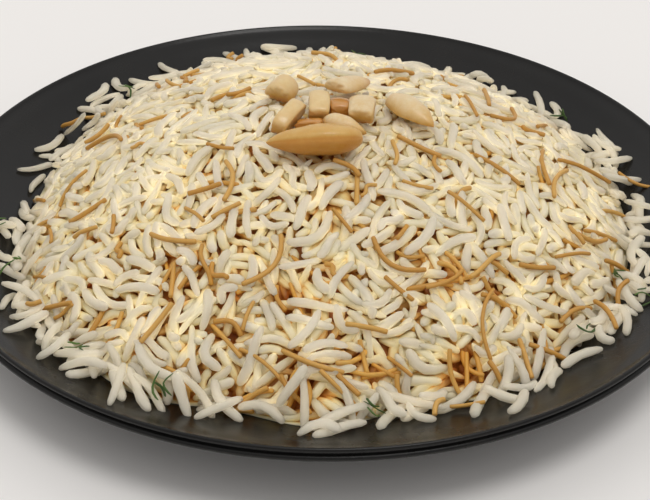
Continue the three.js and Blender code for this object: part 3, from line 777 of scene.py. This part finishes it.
# The loose grains that show most, each as its middle over the plate, its direction in degrees, length and bend.
THICKEST = GRAIN_RADII[-1]
GRAINS_IN_SIGHT = [
    (4.3, -87.3, 24, 14.5, 0.6), (-12.8, -84.6, -25, 12.0, 1.2), (-6.5, -83.0, 38, 9, 0),
    (15.3, -84.8, 58, 12.0, 0.8), (-54.2, -73.7, 24, 9, 0), (-45.9, -79.1, -69, 10, 0),
    (-38.5, -75.3, -44, 14, -1.6), (-31.0, -82.7, -66, 9.5, 0), (36.0, -80.2, 67, 13, 0.5),
    (41.0, -78.8, -18, 9, 0), (44.4, -83.2, 63, 10.5, -0.5), (-62, -63, -30, 12, 1), (61, -62, 30, 12, 1),
]
for x, y, heading, length, bend in GRAINS_IN_SIGHT:
    place_at, headings = np.array([[x, y]]), np.radians([heading])
    landed = land(plan_maps, place_at, headings, length, THICKEST, bend, twist=0.0, steepest=0.8, squeeze=0.1)
    if np.isfinite(landed[3][0]):
        settle(plan_maps, landed, 0, THICKEST, "loose")


def foot_places(count, least, most):
    """Places over the plate, so far outside the mound's foot."""
    angle = any_heading() + chance.normal(0, 0.03, count)
    return round_axis(mound_foot(angle) + chance.uniform(least, most, count), angle)


def lean_limit(flat):
    """Loose grains lie on the plate or on one another, and lean on the foot."""
    return plate_surface(np.hypot(*flat)) + 4.5


# Rings of grains round the foot: how many, and how far outside the foot they lie, from and to.
FOOT_RINGS = [(130, -6, 0.5), (36, 0, 4), (8, 3, 7)]
FOOT_STRANDS = 14
for count, least, most in FOOT_RINGS:
    for _ in range(count):
        drop_grain(plan_maps, "loose", foot_places(6, least, most), lean_limit, steepest=0.8, squeeze=0.2)
for _ in range(FOOT_STRANDS):
    place_at = foot_places(1, -3, 5)[0]
    drop_strand(plan_maps, place_at, any_heading(), chance.uniform(4, 11), chance.normal(0, 0.8))
loose_strands = landings["strand"][len(spans["strand"][0]) :]
for kind, landed in (("loose", landings["loose"]), ("loose_strand", loose_strands)):
    lines = np.array([np.column_stack([flat, height]) for flat, height, _ in landed])
    radii = np.array([radius for _, _, radius in landed])
    spans[kind] = (lines, np.tile([0.0, 0.0, 1.0], (len(lines), 1)), radii)
spans["strand"] = tuple(np.concatenate(pair) for pair in zip(spans["strand"], spans.pop("loose_strand")))


def tube_mesh(lines, normals, radii, sides, stations, thickness, flatness, tones):
    """Oval sections carried along many lines at once. The lines are lengthened by their radius to the tips, cut at
    the stations from 0 to 1, and as thick there as thickness says. Returns points, faces and each point's tone."""
    lead = lines[:, :1] - lines[:, 1:2]
    trail = lines[:, -1:] - lines[:, -2:-1]
    step = np.linalg.norm(lead, axis=-1, keepdims=True)
    growth = radii[:, None, None]
    tips = (lines[:, :1] + lead / step * growth, lines[:, -1:] + trail / step * growth)
    lines = np.concatenate([tips[0], lines, tips[1]], axis=1)
    reach = step[:, 0, 0] * (lines.shape[1] - 3) + 2 * radii
    inner = radii[:, None] + np.arange(lines.shape[1] - 2) * step[:, :, 0]
    marks = np.concatenate([np.zeros((len(lines), 1)), inner, reach[:, None]], axis=1) / reach[:, None]
    wanted = np.concatenate([[0], stations, [1]])
    below = (marks[:, None, :] <= wanted[None, :, None]).sum(-1).clip(1, lines.shape[1] - 1)
    row = np.arange(len(lines))[:, None]
    weight = ((wanted - marks[row, below - 1]) / (marks[row, below] - marks[row, below - 1]))[..., None]
    lines = lines[row, below - 1] * (1 - weight) + lines[row, below] * weight
    count, steps = len(lines), len(stations)
    ahead = np.gradient(lines, axis=1)
    ahead /= np.linalg.norm(ahead, axis=-1, keepdims=True)
    side = np.cross(normals[:, None], ahead)
    side /= np.linalg.norm(side, axis=-1, keepdims=True)
    over = np.cross(ahead, side) * flatness
    around = np.linspace(0, 2 * np.pi, sides, endpoint=False)[None, None, :, None]
    size = (radii[:, None] * thickness)[:, :, None, None]
    oval = side[:, 1:-1, None] * np.cos(around) + over[:, 1:-1, None] * np.sin(around)
    ring = lines[:, 1:-1, None] + size * oval
    each = steps * sides + 2
    points = np.concatenate([ring.reshape(count, -1, 3), lines[:, [0, -1]]], axis=1).reshape(-1, 3)
    first = (np.arange(count) * each)[:, None, None]
    faces = as_lists(*((array + first).reshape(-1, array.shape[1]) for array in sleeve_faces(steps, sides)))
    return points, faces, np.repeat(tones, each)


GAP_DEPTH = 3.5
surface_height = np.maximum(blurred(skin_height, 30), -0.4) + 0.5


def buried(points):
    """How far down in the gaps each point lies, from 0 at the heap's surface to 1 at the depth of a gap."""
    angle = np.arctan2(points[:, 1], points[:, 0])
    share = np.clip(np.hypot(points[:, 0], points[:, 1]) / mound_foot(angle), 0, 1)
    over = ((points - mound_point(share, angle)) * mound_frame(share, angle)[2]).sum(axis=1)
    cells = cell_of(to_flat(points))
    return np.clip((surface_height[cells[:, 0], cells[:, 1]] - over) / GAP_DEPTH, 0, 1) * (share < 0.99)


# Cooked starch. The tone attribute runs from the pale to the deep colour, with fine mottling and a moist gloss. The
# buried attribute tints it by steps with painted light and painted shade: paler just under the heap's surface, where
# the sides of the top grains lie, then yellower, then warm brown and dark at the depth of a gap.
GAP_LIGHT_AND_SHADE = [
    (0.05, (1, 1, 1)), (0.30, (1.24, 1.24, 1.11)), (0.58, (1.31, 1.22, 0.84)), (0.80, (1.24, 0.82, 0.29)),
    (1.0, (0.63, 0.21, 0.03)),
]
MIX_FROM, MIX_TO, MIX_RESULT = 6, 7, 2
cooked_starch, nodes, links, inputs, outputs = new_effect(
    "cooked_starch",
    {"Pale": "Color", "Deep": "Color", "Smoothest": "Float", "Roughest": "Float", "Relief": "Float"},
    {"Colour": "Color", "Roughness": "Float", "Normal": "Vector"},
)
depth = place(nodes, "ShaderNodeAttribute", attribute_name="buried")
gap_light_and_shade = colour_steps(nodes, GAP_LIGHT_AND_SHADE)
depth_shaded = place(nodes, "ShaderNodeMix", data_type="RGBA", blend_type="MULTIPLY", Factor=1.0)
tone = place(nodes, "ShaderNodeAttribute", attribute_name="tone")
place_of = place(nodes, "ShaderNodeTexCoord")
mottling = place(nodes, "ShaderNodeTexNoise", Scale=420.0, Detail=4.0, Roughness=0.6)
fine = place(nodes, "ShaderNodeTexNoise", Scale=1500.0, Detail=3.0)
amount = place(nodes, "ShaderNodeMath", operation="MULTIPLY_ADD", use_clamp=True)
amount.inputs[1].default_value = 0.5
shift = place(nodes, "ShaderNodeMath", operation="ADD", use_clamp=True)
shift.inputs[1].default_value = -0.25
colour = place(nodes, "ShaderNodeMix", data_type="RGBA")
dullness = place(nodes, "ShaderNodeMapRange")
relief = place(nodes, "ShaderNodeBump", Distance=0.0002)
connect(
    links,
    (place_of, "Object", mottling, "Vector"),
    (place_of, "Object", fine, "Vector"),
    (mottling, "Fac", amount, 0),
    (tone, "Fac", amount, 2),
    (amount, "Value", shift, 0),
    (shift, "Value", colour, "Factor"),
    (inputs, "Pale", colour, MIX_FROM),
    (inputs, "Deep", colour, MIX_TO),
    (colour, MIX_RESULT, depth_shaded, MIX_FROM),
    # Painted light and shade by depth in the gaps.
    (depth, "Fac", gap_light_and_shade, "Fac"),
    (gap_light_and_shade, "Color", depth_shaded, MIX_TO),
    (depth_shaded, MIX_RESULT, outputs, "Colour"),
    (inputs, "Smoothest", dullness, "To Min"),
    (inputs, "Roughest", dullness, "To Max"),
    (fine, "Fac", dullness, "Value"),
    (dullness, "Result", outputs, "Roughness"),
    (inputs, "Relief", relief, "Strength"),
    (fine, "Fac", relief, "Height"),
    (relief, "Normal", outputs, "Normal"),
)


def food_material(name, pale, deep, radius, gloss, bump, subsurface):
    """Cooked starch in two colours, with its gloss and relief. Light wanders under its surface by the radius."""
    material, nodes, links, shader = new_material(
        name, Subsurface_Weight=subsurface, Subsurface_Radius=radius, Subsurface_Scale=0.006, Specular_IOR_Level=0.4
    )
    shader.subsurface_method = "BURLEY"
    starch = place(
        nodes, "ShaderNodeGroup", node_tree=cooked_starch,
        Pale=(*pale, 1), Deep=(*deep, 1), Smoothest=gloss - 0.07, Roughest=gloss + 0.15, Relief=bump,
    )
    connect(
        links,
        (starch, "Colour", shader, "Base Color"),
        (starch, "Roughness", shader, "Roughness"),
        (starch, "Normal", shader, "Normal"),
    )
    return material


rice_finish = food_material(
    "cooked_rice", pale=(0.705, 0.65, 0.53), deep=(0.72, 0.64, 0.47),
    radius=(1.0, 0.97, 0.90), gloss=0.42, bump=0.12, subsurface=1.0,
)
lower_rice_finish = food_material(
    "cooked_rice_below", pale=(0.705, 0.65, 0.535), deep=(0.72, 0.645, 0.475),
    radius=(0.5, 0.485, 0.45), gloss=0.42, bump=0.12, subsurface=1.0,
)
strand_finish = food_material(
    "toasted_vermicelli", pale=(0.68, 0.39, 0.10), deep=(0.52, 0.245, 0.038),
    radius=(0.3, 0.2, 0.1), gloss=0.42, bump=0.2, subsurface=0.2,
)

GRAIN_FLATNESS = 0.76
GRAIN_STATIONS = np.array([0.025, 0.11, 0.3, 0.5, 0.7, 0.89, 0.975])
blunt = np.sqrt(1 - np.abs(2 * GRAIN_STATIONS - 1) ** 6)
grain_finishes = {
    "deep": (6, lower_rice_finish), "middle": (6, lower_rice_finish),
    "top": (7, rice_finish), "loose": (7, rice_finish),
}
for kind, (sides, finish) in grain_finishes.items():
    lines, normals, radii = spans[kind]
    taper = chance.normal(0, 0.13, (len(radii), 1)) * (GRAIN_STATIONS - 0.5) * 2
    lumps = chance.normal(0, 0.035, (len(radii), len(GRAIN_STATIONS)))
    # Each grain's tone is random, with more of the deep, yellower colour the lower its layer lies under the heap's
    # surface: painted shade.
    depths = np.array([height.mean() for _, height, _ in landings[kind]]) * (kind != "loose")
    tones = 0.6 * chance.beta(2, 3, len(radii)) + np.clip(-depths / 7, 0, 0.6)
    shape = blunt * (1 + taper + lumps)
    points, faces, tones = tube_mesh(lines, normals, radii, sides, GRAIN_STATIONS, shape, GRAIN_FLATNESS, tones)
    piece = new_piece(f"rice_grains_{kind}", points, faces, finish)
    give(piece, "tone", tones)
    # The buried value gives the painted light and painted shade of the gaps.
    give(piece, "buried", buried(points))

STRAND_STATIONS = np.array([0.004, 0.03, 0.12, 0.25, 0.37, 0.5, 0.63, 0.75, 0.88, 0.97, 0.996])
lines, normals, radii = spans["strand"]
square = np.ones(len(STRAND_STATIONS))
square[[0, -1]] = 0.8
tones = chance.uniform(0, 1, len(radii))
points, faces, tones = tube_mesh(lines, normals, radii, 7, STRAND_STATIONS, square[None], flatness=1.0, tones=tones)
piece = new_piece("vermicelli", points, faces, strand_finish)
give(piece, "tone", tones)
# The buried value gives the painted light and painted shade of the gaps.
give(piece, "buried", buried(points))


# Blades of green herb, a few millimetres long and thin as thread, caught among the grains at the foot. They fall
# there as the loose grains do, three at each place.

herb_finish = food_material(
    "green_herb", pale=(0.10, 0.19, 0.03), deep=(0.035, 0.08, 0.012),
    radius=(0.4, 0.6, 0.1), gloss=0.45, bump=0.3, subsurface=0.1,
)
BLADE_PLACES = [
    (-56, -67), (-36, -80), (-86, -12), (-79, -30), (80, -38), (75, -32), (64, -54), (12, -86), (70, 52), (-60, 62),
    (10, 87),
]
BLADE_RADIUS, BLADE_FLATNESS = 0.3, 0.5
stamps[BLADE_RADIUS] = disc_stamp(BLADE_RADIUS + 0.2)
for x, y in BLADE_PLACES:
    for _ in range(3):
        middle = np.array([[x, y]]) + chance.normal(0, 1.2, (1, 2))
        length, bend = chance.uniform(3, 6), chance.normal(0, 1)
        headings = any_heading(1)
        landed = land(plan_maps, middle, headings, length, BLADE_RADIUS, bend, twist=0.3, steepest=0.8, squeeze=0.1)
        if np.isfinite(landed[3][0]):
            settle(plan_maps, landed, 0, BLADE_RADIUS, "blade")
lines = np.array([np.column_stack([flat, height]) for flat, height, _ in landings["blade"]])
radii = np.full(len(lines), BLADE_RADIUS)
tilts = np.column_stack([chance.normal(0, 0.4, (len(lines), 2)), np.ones(len(lines))])
tones = chance.uniform(0, 1, len(lines))
points, faces, tones = tube_mesh(lines, tilts, radii, 6, GRAIN_STATIONS, blunt[None], BLADE_FLATNESS, tones)
give(new_piece("herb_blades", points, faces, herb_finish), "tone", tones)


# Under the loose grains lies the rest of the heap, pressed together. Where it shows in the gaps, it has the soft
# relief of the deepest grains, a warmer colour, and the buried tint turns it dark brown: painted shade in the gaps.
# It is one closed shell, from the top of the heap out to its foot and back under it.

core_shade_finish = food_material(
    "packed_rice", pale=(0.72, 0.65, 0.46), deep=(0.71, 0.60, 0.37),
    radius=(0.5, 0.4, 0.3), gloss=0.5, bump=0.4, subsurface=0.4,
)
CORE_RINGS, CORE_SIDES = 104, 360
UNDER_CLEARANCE = 0.15
core_angle = np.linspace(0, 2 * np.pi, CORE_SIDES, endpoint=False)[None, :]
share = np.linspace(0.01, 1, CORE_RINGS)[:, None] * np.ones((1, CORE_SIDES))
angle = core_angle * np.ones((CORE_RINGS, 1))
cells = cell_of(round_axis(np.interp(share, skin_shares, skin_radii), angle))
lifts = np.maximum(bed_height[cells[..., 0], cells[..., 1]], np.interp(share, profile_shares, profile_lifts))
top = mound_point(share, angle) + lifts[..., None] * mound_frame(share, angle)[2]
radius = np.hypot(top[..., 0], top[..., 1])
top[..., 2] = np.maximum(top[..., 2], plate_surface(radius) + CORE_CLEARANCE)
under_radius = np.array([1, 0.93, 0.86, 0.79, 0.72, 0.65, 0.3])[:, None] * radius[-1:]
under = round_axis(under_radius, core_angle, plate_surface(under_radius) + UNDER_CLEARANCE)
ends = [[0, 0, top[0, :, 2].mean()], [0, 0, under[-1, 0, 2]]]
points = np.vstack([top.reshape(-1, 3), under.reshape(-1, 3), ends])
quads, top_fan, under_fan = sleeve_faces(len(top) + len(under), CORE_SIDES)
faces = as_lists(quads[:, [0, 3, 2, 1]], top_fan[:, [1, 0, 2]], under_fan[:, [1, 0, 2]])
core = new_piece("packed_rice", points, faces, core_shade_finish, ["rice_mound"])
give(core, "tone", np.full(len(points), 0.5))
# The buried value paints the core with the shade of the gaps.
give(core, "buried", buried(points))


# The table under the plate, the light and the camera. One soft sun almost overhead, a little to the front and right,
# and a sky that is brightest overhead and towards the back. The camera is as far and as high as the photograph's.

floor_finish = new_material("pale_table", Base_Color=(0.92, 0.90, 0.885, 1), Roughness=0.7)[0]
mesh = bpy.data.meshes.new("table_top")
mesh.from_pydata([(-6, -6, 0), (6, -6, 0), (6, 6, 0), (-6, 6, 0)], [], [(0, 1, 2, 3)])
mesh.materials.append(floor_finish)
table_top = bpy.data.objects.new("table_top", mesh)
bpy.context.scene.collection.objects.link(table_top)

lamp = bpy.data.lights.new("soft_sun", "SUN")
lamp.energy, lamp.angle, lamp.color = 0.8, np.radians(25), (1.0, 0.985, 0.96)
soft_sun = bpy.data.objects.new("soft_sun", lamp)
soft_sun.matrix_world = Vector((0.15, -0.1, 0.98)).to_track_quat("Z", "Y").to_matrix().to_4x4()
bpy.context.scene.collection.objects.link(soft_sun)
world = bpy.data.worlds.new("studio")
world.use_nodes = True
nodes, links = world.node_tree.nodes, world.node_tree.links
background = nodes["Background"]
background.inputs["Color"].default_value = (1, 0.985, 0.965, 1)
direction = place(nodes, "ShaderNodeTexCoord")
upward = place(nodes, "ShaderNodeVectorMath", operation="DOT_PRODUCT")
upward.inputs[1].default_value = (0, 0.4, 0.92)
brightness = place(nodes, "ShaderNodeMapRange", From_Min=-0.4, From_Max=1.0, To_Min=0.28, To_Max=0.83)
connect(
    links,
    (direction, "Generated", upward, 0),
    (upward, "Value", brightness, "Value"),
    (brightness, "Result", background, "Strength"),
)
bpy.context.scene.world = world
bpy.context.scene.view_settings.view_transform = "Standard"

FOCAL_PIXELS, WIDTH_PIXELS = 1500, 650
PITCH, ROLL = np.radians(34.36), np.radians(0.89)
CAMERA_PLACE = (0.00041, -0.3408, 0.2344)
camera = bpy.data.cameras.new("camera")
camera.sensor_width = 36
camera.lens = FOCAL_PIXELS / WIDTH_PIXELS * camera.sensor_width
camera.clip_start = 0.01
forward = np.array([0, np.cos(PITCH), -np.sin(PITCH)])
level_up = np.array([0, np.sin(PITCH), np.cos(PITCH)])
level_right = np.array([1, 0, 0])
right = np.cos(ROLL) * level_right + np.sin(ROLL) * level_up
up = np.cos(ROLL) * level_up - np.sin(ROLL) * level_right
view = bpy.data.objects.new("camera", camera)
turned = np.eye(4)
turned[:3, 0], turned[:3, 1], turned[:3, 2] = right, up, -forward
turned[:3, 3] = CAMERA_PLACE
view.matrix_world = Matrix(turned.tolist())
bpy.context.scene.collection.objects.link(view)
bpy.context.scene.camera = view
